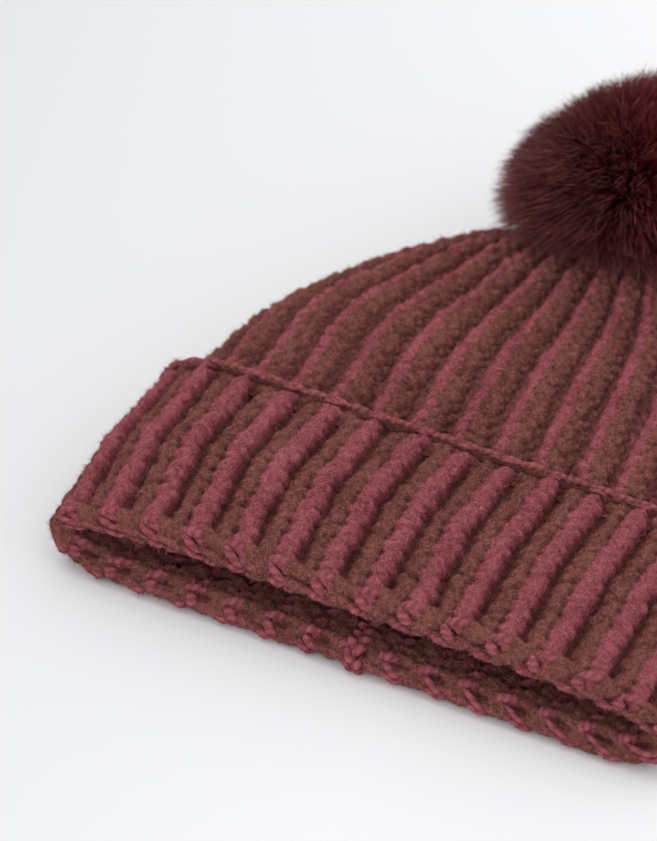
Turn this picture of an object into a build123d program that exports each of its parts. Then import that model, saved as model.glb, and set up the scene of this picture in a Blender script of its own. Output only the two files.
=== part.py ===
from build123d import *
import math
import os

# A rib-knit beanie that lies flat on its back, brim to the front (-Y), crown to the rear (+Y),
# with a turned-up cuff and a faux-fur pom on a press stud. Millimetres, +Z up, table at Z = 0.

# ---- fabric ----
knit_thickness = 5.2  # one layer of the two-colour rib
layer_gap = 0.3  # air between the cuff and the layer under it

# ---- the hat as it lies, measured from the front of the upper fold ----
lower_lip_reach = 7.8  # the lower layer comes further forward than the upper one
brim_half_width = 120.0
brim_height = 30.2
cuff_middle_half_width = 119.8
cuff_middle_height = 41.0
cuff_middle_length = 37.0
cuff_edge_half_width = 116.8
cuff_edge_height = 39.6
cuff_length = 75.0
cuff_lean = 1.0  # the lower edge of the cuff lies this far forward of the upper one
body_start_half_width = 108.9
body_start_height = 37.6
body_start_lift = 3.4
body_start_length = 82.5
swell_half_width = 99.8
swell_height = 45.0
swell_length = 115.0
shoulder_half_width = 82.7
shoulder_height = 42.6
shoulder_length = 148.0
shoulder_lean = 6.0  # further back, the lower end of each section lies behind the upper
dome_half_width = 59.3
dome_height = 43.7
dome_length = 171.0
dome_lean = 15.0
tail_half_width = 42.1
tail_height = 41.6
tail_length = 183.0
tail_lean = 23.0
tail_lift = 9.0
waist_share = 0.5  # where the flattened section is widest, from the table up
brim_crest = 0.36  # of the half width that is level on top, at the brim
cuff_middle_crest = 0.43
cuff_edge_crest = 0.72
crown_crest = 0.59
table_share = 0.8  # of the half width that lies flat on the table
gather_share = 0.15  # both of them where the crown is drawn up

# ---- ribs on the crown ----
rib_count = 30
rib_shift = 0.6  # of a rib, from the left side to the first rib's crest
rib_relief = 3.0  # how far the grooves lie below the crests
edge_relief = 0.3  # the same under the cuff, where the ribs run out
full_pitch = 15.0  # between crests, below which the relief shrinks with the pitch

# ---- gather at the top of the crown, where the pom sits ----
gather_length = 196.0
gather_height = 34.0
gather_tilt = 45.0  # degrees that the gather's axis rises from +Y
gather_radius = 9.0
gather_hole_radius = 4.0
gather_yarn_radius = 1.3
cap_thickness = 5.2  # the drawn-up fabric under the press stud

# ---- cast-on edge, the corded chain along the cuff's free edge ----
edge_bead = 3.2
edge_swell = 0.3  # how far the bead stands out from the cuff
edge_clearance = 1.6  # between the bead and the layer under it

# ---- seam up the middle of the back, inside ----
seam_width = 4.0
seam_height = 1.4

# ---- sew-on press stud ----
stud_radius = 6.5
stud_flange = 0.8
boss_radius = 4.2
boss_height = 1.8
ball_radius = 2.2
neck_radius = 1.8
stud_clearance = 0.05
bore_floor = 0.3  # metal left under the bore
sewing_hole_radius = 0.7
sewing_hole_circle = 5.3
sewing_hole_count = 4
spring_wire_radius = 0.25
spring_opening = 50.0  # degrees
groove_clearance = 0.1
thread_radius = 0.35
backing_disc_radius = 8.0
backing_disc_thickness = 1.2
seat_gap = 0.05  # between pieces that are sewn flat on each other

# ---- pom ----
pom_radius = 51.5
pom_half_height = 35.0
pom_centre = 29.6  # along the gather's axis, from the crown
pom_lean = 33.0  # degrees that the fur's short axis leans towards -X
pom_rise = 57.0  # degrees that it rises from +Y before that lean
pom_base_gap = 1.2  # between the crown and the fur that overhangs it
base_disc_radius = 11.0
base_disc_thickness = 1.4
skin_thickness = 1.2
skin_bag_radius = 17.0
skin_bag_half_height = 19.5
skin_bag_overlap = 1.0  # how far the bag would reach below the base disc's top, drawn in there
drawstring_radius = 0.8
drawstring_ring = 9.3
fur_recess_gap = 1.5  # around the base disc and the press stud
fur_recess_height = 1.9  # above the base disc
skin_gap = 0.1

# ---- derived places ----
tilt = math.radians(gather_tilt)
axis_y = math.cos(tilt)
axis_z = math.sin(tilt)
lean_x = -math.sin(math.radians(pom_lean))
lean_y = math.cos(math.radians(pom_lean)) * math.cos(math.radians(pom_rise))
lean_z = math.cos(math.radians(pom_lean)) * math.sin(math.radians(pom_rise))
pom_flatness = pom_radius**2 - pom_half_height**2
pom_reach = math.sqrt(pom_radius**2 - pom_flatness * lean_y**2)
rear_length = gather_length + pom_centre * axis_y + pom_reach
double_layer = 2 * knit_thickness + layer_gap
fold_flat = 0.35  # half of the level strip left at the front of the rounded fold
fold_radius = double_layer / 2 - fold_flat
lip_lean = lower_lip_reach / math.hypot(lower_lip_reach, brim_height)
front_length = fold_radius * lip_lean - lower_lip_reach
origin_length = (rear_length + front_length) / 2


def station(half_width, top_length, top_height, lean=0.0, lift=0.0):
    """One cross-section: its half width, its upper point, and how its lower point lies."""
    return half_width, top_length, top_height, top_length - lean, lift


def midway(before, first, second, after):
    """A section halfway between two others, on a smooth line through all four."""
    rows = zip(before, first, second, after)
    values = [(9 * (b + c) - a - d) / 16 for a, b, c, d in rows]
    return (*values[:4], max(values[4], 0.0))


def slant(place):
    half_width, top_length, top_height, low_length, low_height = place
    return math.hypot(top_length - low_length, top_height - low_height)


def section_plane(place):
    half_width, top_length, top_height, low_length, low_height = place
    up_y = (top_length - low_length) / slant(place)
    up_z = (top_height - low_height) / slant(place)
    waist = slant(place) * waist_share
    centre = (0, low_length + up_y * waist - origin_length, low_height + up_z * waist)
    return Plane(origin=centre, x_dir=(1, 0, 0), z_dir=(0, -up_z, up_y))


def crest_at(place):
    """The share of a section that is level on top, by how far back it lies."""
    length = place[1]
    if length > cuff_length + edge_bead + 1.5:
        return crown_crest
    if length > cuff_middle_length:
        share = min(1.0, (length - cuff_middle_length) / (cuff_length - cuff_middle_length))
        return cuff_middle_crest + (cuff_edge_crest - cuff_middle_crest) * share
    share = max(0.0, length / cuff_middle_length)
    return brim_crest + (cuff_middle_crest - brim_crest) * share


def flat_oval(place, inset=0.0, table=table_share, crest=None):
    """A flattened oval: full and round above, flat below where it lies on the table."""
    crest = crest_at(place) if crest is None else crest
    across = place[0] - inset
    above = slant(place) * (1 - waist_share) - inset
    below = slant(place) * waist_share - inset
    low = across * table
    high = across * crest
    with BuildSketch() as oval:
        with BuildLine():
            Line((-low, -below), (low, -below))
            EllipticalCenterArc((low, 0), across - low, below, 270, arc_size=90)
            EllipticalCenterArc((high, 0), across - high, above, 0, arc_size=90)
            Line((high, above), (-high, above))
            EllipticalCenterArc((-high, 0), across - high, above, 90, arc_size=90)
            EllipticalCenterArc((-low, 0), across - low, below, 180, arc_size=90)
        make_face()
    return oval.sketch


def oval_points(place, inset, table, crest, numbers):
    """Points on a flat oval at half-rib steps, by length along it from the left side."""
    across = place[0] - inset
    above = slant(place) * (1 - waist_share) - inset
    below = slant(place) * waist_share - inset
    low = across * table
    high = across * crest
    turns = [math.radians(3 * step) for step in range(31)]
    fine = [(high + (across - high) * math.cos(t), above * math.sin(t)) for t in turns]
    fine += [(-high - (across - high) * math.sin(t), above * math.cos(t)) for t in turns]
    fine += [(-low - (across - low) * math.cos(t), -below * math.sin(t)) for t in turns]
    fine += [(low + (across - low) * math.sin(t), -below * math.cos(t)) for t in turns]
    lengths = [0.0]
    for first, second in zip(fine, fine[1:]):
        lengths.append(lengths[-1] + math.dist(first, second))
    points = []
    for number in numbers:
        wanted = (0.5 - (rib_shift + number / 2) / rib_count) % 1 * lengths[-1]
        after = next(i for i, length in enumerate(lengths) if length > wanted)
        share = (wanted - lengths[after - 1]) / (lengths[after] - lengths[after - 1])
        pairs = zip(fine[after - 1], fine[after])
        points.append(tuple(a + (b - a) * share for a, b in pairs))
    return points, lengths[-1] / rib_count


def rib_corners(place, inset=0.0, relief=rib_relief, table=table_share, crest=None):
    """The corners of a section: each rib's crest, and the groove after it.

    The ribs are pressed flat where the section lies on the table.
    """
    crest = crest_at(place) if crest is None else crest
    crests, pitch = oval_points(place, inset, table, crest, range(0, 2 * rib_count, 2))
    depth = inset + relief * min(1.0, pitch / full_pitch)
    grooves, pitch = oval_points(place, depth, table, crest, range(1, 2 * rib_count, 2))
    pressed, pitch = oval_points(place, inset, table, crest, range(1, 2 * rib_count, 2))
    level = inset - slant(place) * waist_share + 0.01
    chosen = [low if low[1] < level else groove for low, groove in zip(pressed, grooves)]
    flat = [point for pair in zip(crests, chosen) for point in pair]
    return [section_plane(place).from_local_coords(point) for point in flat]


def ribbed_solid(rows):
    """A closed solid through rows of corners, with flat faces between them."""
    faces = [Face(Wire.make_polygon(rows[0])), Face(Wire.make_polygon(rows[-1]))]
    for before, after in zip(rows, rows[1:]):
        for corner in range(len(before)):
            here, there = before[corner - 1], before[corner]
            far, near = after[corner], after[corner - 1]
            faces.append(Face(Wire.make_polygon([here, there, far])))
            faces.append(Face(Wire.make_polygon([here, far, near])))
    return Solid(Shell(faces))


def gather_plane(offset):
    """The plane across the gather's axis, offset outwards from the crown's surface."""
    centre_y = gather_length - origin_length + offset * axis_y
    centre = (0, centre_y, gather_height + offset * axis_z)
    return Plane(origin=centre, x_dir=(1, 0, 0), z_dir=(0, axis_y, axis_z))


# The gather's axis is the +Y of this plane, and its origin is on the crown.
profile_origin = (0, gather_length - origin_length, gather_height)
profile_plane = Plane(origin=profile_origin, x_dir=(1, 0, 0), z_dir=(0, -axis_z, axis_y))
gather_axis = Axis(profile_origin, (0, axis_y, axis_z))

brim = station(brim_half_width, 0.0, brim_height, lower_lip_reach)
cuff_middle = station(cuff_middle_half_width, cuff_middle_length, cuff_middle_height, cuff_lean)
cuff_edge = station(cuff_edge_half_width, cuff_length, cuff_edge_height, cuff_lean)
body_start = station(
    body_start_half_width, body_start_length, body_start_height, 0.0, body_start_lift
)
swell = station(swell_half_width, swell_length, swell_height)
shoulder = station(shoulder_half_width, shoulder_length, shoulder_height, -shoulder_lean)
dome = station(dome_half_width, dome_length, dome_height, -dome_lean)
tail = station(tail_half_width, tail_length, tail_height, -tail_lean, tail_lift)
rim_y = gather_radius * axis_z
rim_z = gather_radius * axis_y
gather = station(
    gather_radius, gather_length - rim_y, gather_height + rim_z, -2 * rim_y, gather_height - rim_z
)


def nose(angle):
    """A section through the rounded fold, and how far its surface lies in from the outside."""
    depth = fold_radius * (1 - math.cos(math.radians(angle)))
    inset = fold_radius * (1 - math.sin(math.radians(angle)))
    share = depth / cuff_middle_length
    place = tuple(a + (b - a) * share for a, b in zip(brim, cuff_middle))
    return place, inset


fold_share = double_layer / 2 / cuff_middle_length
behind_fold = tuple(a + (b - a) * fold_share for a, b in zip(brim, cuff_middle))
before_brim = tuple(2 * a - b for a, b in zip(brim, behind_fold))


def beyond_edge(distance):
    """The section of the cuff's free edge, moved on towards the crown."""
    half_width, top_length, top_height, low_length, low_height = cuff_edge
    return half_width, top_length + distance, top_height, low_length + distance, low_height


past_edge = beyond_edge(2)
crown_drive = [body_start, swell, shoulder, dome, tail, gather]
beyond = tuple(2 * a - b for a, b in zip(gather, tail))
line_up = [cuff_edge] + crown_drive + [beyond]
crown_places = []
for number in range(1, 6):
    crown_places.append(line_up[number])
    crown_places.append(midway(*line_up[number - 1 : number + 3]))
first_middle = crown_places[1]
crown_places[1] = (first_middle[0],) + first_middle[1:4] + (body_start_lift / 3,)

os.makedirs("parts", exist_ok=True)

# ---- the turned-up cuff, with the fold that closes it at the front ----
with BuildPart() as turned_up_cuff:
    for angle in (0, 30, 60, 90):
        place, inset = nose(angle)
        with BuildSketch(section_plane(place)):
            add(flat_oval(place, inset))
    for place in (cuff_middle, cuff_edge):
        with BuildSketch(section_plane(place)):
            add(flat_oval(place))
    loft(ruled=True)
    for place in (behind_fold, cuff_middle, past_edge):
        with BuildSketch(section_plane(place)):
            add(flat_oval(place, knit_thickness))
    loft(ruled=True, mode=Mode.SUBTRACT)
    with BuildSketch(section_plane(before_brim)):
        add(flat_oval(before_brim, double_layer - fold_radius))
    for angle in (0, 30, 60, 90):
        place, inset = nose(angle)
        with BuildSketch(section_plane(place)):
            add(flat_oval(place, double_layer - inset))
    for place in (cuff_middle, past_edge):
        with BuildSketch(section_plane(place)):
            add(flat_oval(place, double_layer))
    loft(ruled=True, mode=Mode.SUBTRACT)
turned_up_cuff.part.label = "turned_up_cuff"
export_step(turned_up_cuff.part, "parts/turned_up_cuff.step")

# ---- the inner layer and the crown, one hollow knit up to the gather ----
under_gather = list(gather)
for index, share in ((1, axis_y), (2, axis_z), (3, axis_y), (4, axis_z)):
    under_gather[index] -= cap_thickness * share
before_fold = tuple(a - (b - a) * fold_share * 0.5 for a, b in zip(behind_fold, cuff_middle))
with BuildPart() as knitted_body:
    for place in (behind_fold, cuff_middle, cuff_edge):
        with BuildSketch(section_plane(place)):
            add(flat_oval(place, knit_thickness + layer_gap))
    loft(ruled=True)
    crown_rows = [rib_corners(cuff_edge, knit_thickness + layer_gap, edge_relief)]
    crown_rows += [rib_corners(place) for place in crown_places]
    crown_rows.append(rib_corners(gather, 0.0, rib_relief, gather_share, gather_share))
    add(ribbed_solid(crown_rows))
    for place in (before_fold, cuff_middle, cuff_edge):
        with BuildSketch(section_plane(place)):
            add(flat_oval(place, double_layer))
    for place in crown_places:
        with BuildSketch(section_plane(place)):
            add(flat_oval(place, knit_thickness))
    with BuildSketch(section_plane(under_gather)):
        add(flat_oval(under_gather, 0, gather_share, gather_share))
    loft(ruled=True, mode=Mode.SUBTRACT)
    with BuildSketch(gather_plane(1)):
        Circle(gather_hole_radius)
    extrude(amount=-cap_thickness - 2, mode=Mode.SUBTRACT)
knitted_body.part.label = "knitted_body"
export_step(knitted_body.part, "parts/knitted_body.step")

# ---- cast-on edge ----
with BuildPart() as cast_on_edge:
    for distance, inset in ((seat_gap, 0.9), (1.1, -edge_swell), (2.3, -edge_swell), (edge_bead, 0.9)):
        place = (*beyond_edge(distance)[:4], edge_swell)
        with BuildSketch(section_plane(place)):
            add(flat_oval(place, inset))
    loft(ruled=True)
    for distance in (-1.0, edge_bead + 1.0):
        with BuildSketch(section_plane(beyond_edge(distance))):
            add(flat_oval(cuff_edge, knit_thickness - edge_clearance))
    loft(ruled=True, mode=Mode.SUBTRACT)
cast_on_edge.part.label = "cast_on_edge"
export_step(cast_on_edge.part, "parts/cast_on_edge.step")

# ---- back seam, a low ridge inside the layer that lies on the table ----
seam_places = [(behind_fold, double_layer), (cuff_middle, double_layer), (cuff_edge, double_layer)]
seam_places += [(place, knit_thickness) for place in crown_places[:-1]]
with BuildPart() as back_seam:
    for place, inset in seam_places:
        with BuildSketch(section_plane(place)):
            add(flat_oval(place, inset + seat_gap))
    loft(ruled=True)
    for place, inset in seam_places:
        with BuildSketch(section_plane(place)):
            add(flat_oval(place, inset + seat_gap + seam_height))
    loft(ruled=True, mode=Mode.SUBTRACT)
    with BuildSketch(Plane.YZ):
        with BuildLine():
            waist = [section_plane(place).origin for place, inset in seam_places]
            first, last = waist[0], waist[-1]
            around = [(last.Y + last.Z, 0), (last.Y, -1), (first.Y - first.Z, -1)]
            Polyline(*[(point.Y, point.Z) for point in waist], *around, close=True)
        make_face()
    extrude(amount=seam_width / 2, both=True, mode=Mode.INTERSECT)
back_seam.part.label = "back_seam"
export_step(back_seam.part, "parts/back_seam.step")

# ---- the yarn that draws the crown together ----
with BuildPart() as gathering_yarn:
    with Locations(gather_plane(-gather_yarn_radius - seat_gap * 4)):
        Torus(gather_hole_radius - gather_yarn_radius - seat_gap, gather_yarn_radius)
gathering_yarn.part.label = "gathering_yarn"
export_step(gathering_yarn.part, "parts/gathering_yarn.step")

# ---- backing disc under the gather, which takes the pull of the press stud ----
with BuildPart() as backing_disc:
    with BuildSketch(gather_plane(-cap_thickness - seat_gap)):
        Circle(backing_disc_radius)
    extrude(amount=-backing_disc_thickness)
backing_disc.part.label = "backing_disc"
export_step(backing_disc.part, "parts/backing_disc.step")

# ---- press stud: heights are along the gather's axis, from the crown ----
socket_flange_top = seat_gap + stud_flange
boss_top = socket_flange_top + boss_height
bore_radius = ball_radius + stud_clearance
wire_ring = bore_radius + spring_wire_radius + stud_clearance / 2
groove_radius = wire_ring + spring_wire_radius + groove_clearance
groove_half_height = spring_wire_radius + groove_clearance / 2
groove_height = boss_top - groove_half_height - bore_floor
post_flange_low = boss_top + stud_clearance
post_flange_top = post_flange_low + stud_flange
ball_floor = seat_gap + bore_floor + stud_clearance
neck_low = groove_height - spring_wire_radius / 2

with BuildPart() as stud_socket:
    with BuildSketch(profile_plane):
        with BuildLine():
            Polyline(
                (0, seat_gap),
                (stud_radius, seat_gap),
                (stud_radius, socket_flange_top),
                (boss_radius + 0.5, socket_flange_top),
                (boss_radius, boss_top),
                (bore_radius, boss_top),
                (bore_radius, groove_height + groove_half_height),
                (groove_radius, groove_height + groove_half_height),
                (groove_radius, groove_height - groove_half_height),
                (bore_radius, groove_height - groove_half_height),
                (bore_radius, seat_gap + bore_floor),
                (0, seat_gap + bore_floor),
                close=True,
            )
        make_face()
    revolve(axis=gather_axis)
    with BuildSketch(gather_plane(0)):
        with PolarLocations(sewing_hole_circle, sewing_hole_count, 45):
            Circle(sewing_hole_radius)
    extrude(amount=socket_flange_top + 0.2, mode=Mode.SUBTRACT)
stud_socket.part.label = "stud_socket"
export_step(stud_socket.part, "parts/stud_socket.step")

with BuildPart() as socket_spring:
    with Locations(gather_plane(groove_height)):
        Torus(wire_ring, spring_wire_radius, major_angle=360 - spring_opening, align=None)
socket_spring.part.label = "socket_spring"
export_step(socket_spring.part, "parts/socket_spring.step")

with BuildPart() as stud_post:
    with BuildSketch(profile_plane):
        with BuildLine():
            Polyline(
                (0, post_flange_top),
                (stud_radius, post_flange_top),
                (stud_radius, post_flange_low),
                (neck_radius, post_flange_low),
                (neck_radius, neck_low),
                (ball_radius, neck_low - 0.3),
                (ball_radius, ball_floor + 0.5),
                (ball_radius - 0.5, ball_floor),
                (0, ball_floor),
                close=True,
            )
        make_face()
    revolve(axis=gather_axis)
    with BuildSketch(gather_plane(post_flange_low - 0.2)):
        with PolarLocations(sewing_hole_circle, sewing_hole_count, 45):
            Circle(sewing_hole_radius)
    extrude(amount=stud_flange + 0.4, mode=Mode.SUBTRACT)
stud_post.part.label = "stud_post"
export_step(stud_post.part, "parts/stud_post.step")

# ---- sewing thread: one loop over the flange's rim at each hole ----
stitch_reach = stud_radius - sewing_hole_circle
stitch_radius = thread_radius - seat_gap
with BuildPart() as socket_stitches:
    with Locations(gather_plane(3 * seat_gap)):
        with PolarLocations(stud_radius - 0.1, sewing_hole_count, 45):
            Torus(stitch_reach, stitch_radius, major_angle=180, rotation=(90, 0, 0), align=None)
socket_stitches.part.label = "socket_stitches"
export_step(socket_stitches.part, "parts/socket_stitches.step")

with BuildPart() as post_stitches:
    with Locations(gather_plane(post_flange_top - 2 * seat_gap)):
        with PolarLocations(stud_radius - 0.1, sewing_hole_count, 45):
            Torus(stitch_reach, stitch_radius, major_angle=180, rotation=(-90, 0, 0), align=None)
post_stitches.part.label = "post_stitches"
export_step(post_stitches.part, "parts/post_stitches.step")

# ---- pom: base disc, skin bag drawn in over it, filling, and the fur round it ----
disc_low = post_flange_top + seat_gap
disc_top = disc_low + base_disc_thickness
bag_low = disc_top + seat_gap
bag_centre = bag_low - skin_bag_overlap + skin_bag_half_height


def dome_face(centre, radius, half_height, low):
    """Half of an ellipse that stands on the axis, cut off level at its low end."""
    tall = centre + half_height - low + 1
    with BuildSketch() as dome_half:
        with Locations((0, centre)):
            Ellipse(radius, half_height)
        with Locations((0, low)):
            Rectangle(radius + 1, tall, align=(Align.MIN, Align.MIN), mode=Mode.INTERSECT)
    return dome_half.sketch


with BuildPart() as pom_base_disc:
    with BuildSketch(gather_plane(disc_low)):
        Circle(base_disc_radius)
    extrude(amount=base_disc_thickness)
pom_base_disc.part.label = "pom_base_disc"
export_step(pom_base_disc.part, "parts/pom_base_disc.step")

with BuildPart() as pom_skin:
    with BuildSketch(profile_plane):
        add(dome_face(bag_centre, skin_bag_radius, skin_bag_half_height, bag_low))
        inner_radius = skin_bag_radius - skin_thickness
        inner_half_height = skin_bag_half_height - skin_thickness
        inner_low = bag_centre - inner_half_height * 0.999
        add(dome_face(bag_centre, inner_radius, inner_half_height, inner_low), mode=Mode.SUBTRACT)
    revolve(axis=gather_axis)
pom_skin.part.label = "pom_skin"
export_step(pom_skin.part, "parts/pom_skin.step")

with BuildPart() as pom_filling:
    with BuildSketch(profile_plane):
        filling_radius = inner_radius - skin_gap
        filling_half_height = inner_half_height - skin_gap
        filling_low = bag_centre - filling_half_height * 0.995
        add(dome_face(bag_centre, filling_radius, filling_half_height, filling_low))
    revolve(axis=gather_axis)
pom_filling.part.label = "pom_filling"
export_step(pom_filling.part, "parts/pom_filling.step")

with BuildPart() as pom_drawstring:
    with Locations(gather_plane(bag_low + drawstring_radius)):
        Torus(drawstring_ring, drawstring_radius)
pom_drawstring.part.label = "pom_drawstring"
export_step(pom_drawstring.part, "parts/pom_drawstring.step")

# The short axis of the fur is the +Y of this plane, and its origin is the fur's middle.
pom_middle = gather_plane(pom_centre).origin
lean_across = Vector(1, 0, 0) - Vector(lean_x, lean_y, lean_z) * lean_x
lean_normal = lean_across.cross(Vector(lean_x, lean_y, lean_z))
lean_plane = Plane(origin=pom_middle, x_dir=lean_across, z_dir=lean_normal)
lean_axis = Axis(pom_middle, (lean_x, lean_y, lean_z))
with BuildPart() as pom_fur:
    with BuildSketch(lean_plane):
        with BuildLine():
            turns = [math.radians(angle) for angle in range(-90, 91, 30)]
            outline = [(pom_radius * math.cos(a), pom_half_height * math.sin(a)) for a in turns]
            outline[0] = (0, -pom_half_height)
            outline[-1] = (0, pom_half_height)
            Spline(*outline, tangents=[(1, 0), (-1, 0)])
            Line(outline[-1], outline[0])
        make_face()
    revolve(axis=lean_axis)
    with BuildSketch(gather_plane(pom_base_gap)):
        Circle(2 * pom_radius)
    extrude(amount=-2 * pom_radius, mode=Mode.SUBTRACT)
    with BuildSketch(profile_plane):
        fur_bag_radius = skin_bag_radius + skin_gap
        fur_bag_half_height = skin_bag_half_height + skin_gap
        recess_radius = base_disc_radius + fur_recess_gap
        recess_height = disc_top + fur_recess_height
        add(dome_face(bag_centre, fur_bag_radius, fur_bag_half_height, disc_low))
        corner = (Align.MIN, Align.MIN)
        Rectangle(recess_radius, recess_height, align=corner)
    revolve(axis=gather_axis, mode=Mode.SUBTRACT)
pom_fur.part.label = "pom_fur"
export_step(pom_fur.part, "parts/pom_fur.step")
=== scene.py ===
import math

import bmesh
import bpy
import numpy as np
from mathutils import Matrix, Vector


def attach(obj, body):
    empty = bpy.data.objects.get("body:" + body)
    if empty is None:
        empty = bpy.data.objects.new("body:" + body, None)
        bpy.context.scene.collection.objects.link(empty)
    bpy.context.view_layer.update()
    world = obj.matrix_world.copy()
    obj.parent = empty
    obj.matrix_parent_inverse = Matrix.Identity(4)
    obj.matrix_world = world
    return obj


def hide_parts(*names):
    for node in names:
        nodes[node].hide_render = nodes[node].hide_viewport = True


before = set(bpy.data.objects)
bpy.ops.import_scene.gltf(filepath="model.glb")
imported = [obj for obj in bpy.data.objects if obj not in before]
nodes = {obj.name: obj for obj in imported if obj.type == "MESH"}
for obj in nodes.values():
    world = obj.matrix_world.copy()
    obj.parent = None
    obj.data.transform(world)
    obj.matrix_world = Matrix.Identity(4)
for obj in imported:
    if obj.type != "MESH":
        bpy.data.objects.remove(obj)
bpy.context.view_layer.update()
chance = np.random.default_rng(27)
mm = 0.001

# shader helpers


class Wire:
    # a socket that can be added, taken away and multiplied like a number
    def __init__(self, shader, socket):
        self.shader = shader
        self.socket = socket

    def maths(self, operation, *values):
        return self.shader.node("Math", {"operation": operation}, dict(enumerate(values)))

    def __add__(self, other):
        return self.maths("ADD", self, other)

    def __radd__(self, other):
        return self.maths("ADD", other, self)

    def __sub__(self, other):
        return self.maths("SUBTRACT", self, other)

    def __rsub__(self, other):
        return self.maths("SUBTRACT", other, self)

    def __mul__(self, other):
        return self.maths("MULTIPLY", self, other)

    def __rmul__(self, other):
        return self.maths("MULTIPLY", other, self)

    def sine(self):
        return self.maths("SINE", self)

    def clamped(self):
        return self.shader.node("Clamp", {}, {0: self})


class Shader:
    def __init__(self, name):
        self.material = bpy.data.materials.new(name)
        self.material.use_nodes = True
        self.tree = self.material.node_tree
        self.tree.nodes.clear()

    def node(self, kind, settings=None, values=None, output=0):
        made = self.tree.nodes.new("ShaderNode" + kind)
        for key, value in (settings or {}).items():
            if key == "stops":
                ramp = made.color_ramp
                while len(ramp.elements) < len(value):
                    ramp.elements.new(0.5)
                for element, (place, colour) in zip(ramp.elements, value):
                    element.position = place
                    element.color = colour
            else:
                setattr(made, key, value)
        for key, value in (values or {}).items():
            socket = made.inputs[key]
            if isinstance(value, Wire):
                self.tree.links.new(value.socket, socket)
            else:
                socket.default_value = value
        return Wire(self, made.outputs[output]) if made.outputs else None

    def mix(self, factor, first, second, blend="MIX"):
        settings = {"data_type": "RGBA", "blend_type": blend}
        return self.node("Mix", settings, {0: factor, 6: first, 7: second}, 2)

    def place(self):
        return self.node("TexCoord", output=3)

    def attribute(self, name, output=2):
        return self.node("Attribute", {"attribute_name": name}, output=output)

    def noise(self, scale, detail, roughness):
        values = {"Vector": self.place(), "Scale": scale, "Detail": detail, "Roughness": roughness}
        return self.node("TexNoise", {}, values)

    def bump(self, height, strength, distance):
        values = {"Strength": strength, "Distance": distance, "Height": height}
        return self.node("Bump", {}, values)

    def surface(self, **values):
        names = {key: key[0].upper() + key[1:] for key in values}
        names.update(baseColor="Base Color", specular="Specular IOR Level")
        inputs = {names[key]: value for key, value in values.items()}
        lit = self.node("BsdfPrincipled", {}, inputs)
        self.node("OutputMaterial", {}, {"Surface": lit})
        return self.material


def paint(red, green, blue):
    # display colour, 0 to 255, as the linear colour that the sockets take
    shares = [value / 255 for value in (red, green, blue)]
    linear = [v / 12.92 if v <= 0.04045 else ((v + 0.055) / 1.055) ** 2.4 for v in shares]
    return (*linear, 1)


# the knitted shape

hat = {
    "ribs": 30,
    "ribShift": 0.6,  # of a rib, from the left side to the first crest
    "originLength": 129.4518,  # from the fold to the frame's origin
    "offTable": 0.05,  # nothing comes nearer to the table
    "layer": 5.2,
    "gap": 0.3,
    "foldRadius": 5.0,
    "waist": 0.5,  # where a section is widest, as a share of its height
    "table": 0.8,  # the share of a section that lies on the table
    "thinnest": 0.6,  # a section is at least this high on either side of its waist
    "gather": (196.0, 34.0),  # length from the fold and height of its middle
    "gatherTilt": 45.0,
    "gatherRadius": 9.0,
    "gatherHole": 4.1,
    "gatherShare": 0.15,  # level at the top and at the bottom there
    # half width, upper point, lower point, level share of the top:
    # lengths from the fold, heights from the table
    "brim": (120.0, 0.0, 30.2, -7.8, 0.0, 0.36),
    "cuffMiddle": (119.8, 37.0, 41.0, 36.0, 0.0, 0.43),
    "cuffEdge": (116.8, 75.0, 39.6, 74.0, 0.0, 0.72),
    "crown": [
        (108.9, 82.5, 37.6, 82.5, 3.4, 0.59),
        (99.8, 115.0, 45.0, 115.0, 0.0, 0.59),
        (82.7, 148.0, 42.6, 154.0, 0.0, 0.59),
        (59.3, 171.0, 43.7, 186.0, 0.0, 0.59),
        (42.1, 183.0, 41.6, 206.0, 9.0, 0.5),
    ],
}
tilt = math.radians(hat["gatherTilt"])
pomAxis = Vector((0, math.cos(tilt), math.sin(tilt)))
doubleLayer = 2 * hat["layer"] + hat["gap"]


def between(first, second, share):
    return tuple(a + (b - a) * share for a, b in zip(first, second))


def curveThrough(places, steps):
    # a smooth line through the inner places, ends used as guides
    rows = []
    for index in range(1, len(places) - 2):
        a, b, c, d = (np.array(places[index + k]) for k in (-1, 0, 1, 2))
        for step in range(steps):
            t = step / steps
            row = 0.5 * (
                2 * b + (c - a) * t + (2 * a - 5 * b + 4 * c - d) * t * t
                + (3 * b - a - 3 * c + d) * t ** 3
            )
            row[4] = max(row[4], 0.0)
            rows.append(tuple(row))
    rows.append(tuple(places[-2]))
    return rows


def gatherRing(radius, depth=0.0):
    length, height = hat["gather"]
    length -= depth * pomAxis.y
    height -= depth * pomAxis.z
    reachY = radius * pomAxis.z
    reachZ = radius * pomAxis.y
    upper = length - reachY, height + reachZ
    return radius, *upper, length + reachY, height - reachZ, hat["gatherShare"]


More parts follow.
